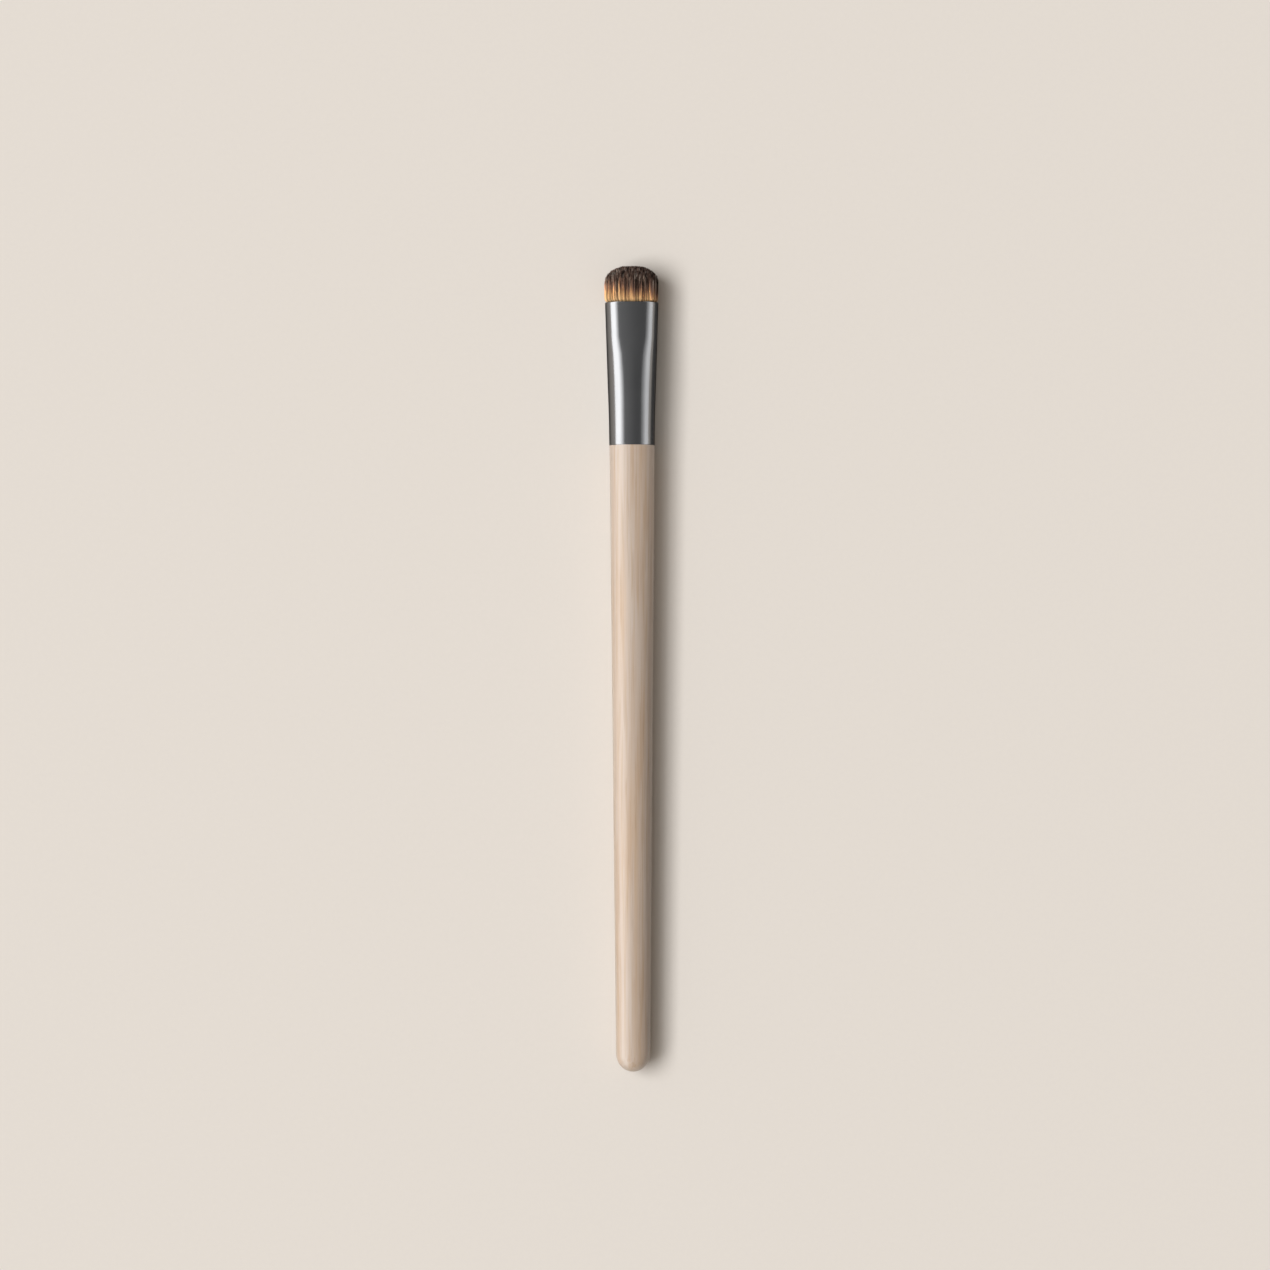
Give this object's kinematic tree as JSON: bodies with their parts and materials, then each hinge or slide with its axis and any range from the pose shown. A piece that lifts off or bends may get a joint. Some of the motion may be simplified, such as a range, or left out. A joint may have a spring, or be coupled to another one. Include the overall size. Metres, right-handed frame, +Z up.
{
  "type": "eyeshadow brush",
  "caption": "Short make-up brush with a tapered bamboo handle, a metal ferrule pressed from round to oval and a flat domed tuft of fine bristles, for laying on eyeshadow.",
  "frame": {"origin": "on the surface that the brush lies on, under the middle of its length and width", "axes": "+Y along the brush from the tail to the bristles, +X to the right across the flat of the tuft, +Z up, with the flat of the tuft facing up"},
  "size_m": [0.0094, 0.14, 0.0085],
  "materials": {
    "bamboo": "satin clear lacquer over fine straight grain",
    "gunmetal": "polished dark grey plating",
    "bristle": "fine dyed filaments, golden at the mouth and dark brown at the tips",
    "thread": "twisted thread",
    "resin": "cast resin",
    "glue": "cured glue"
  },
  "bodies": {
    "root": {"handle": "bamboo", "ferrule": "gunmetal", "bristle_tuft": "bristle", "root_binding": "thread", "setting_resin": "resin", "tenon_glue": "glue"}
  },
  "joints": []
}
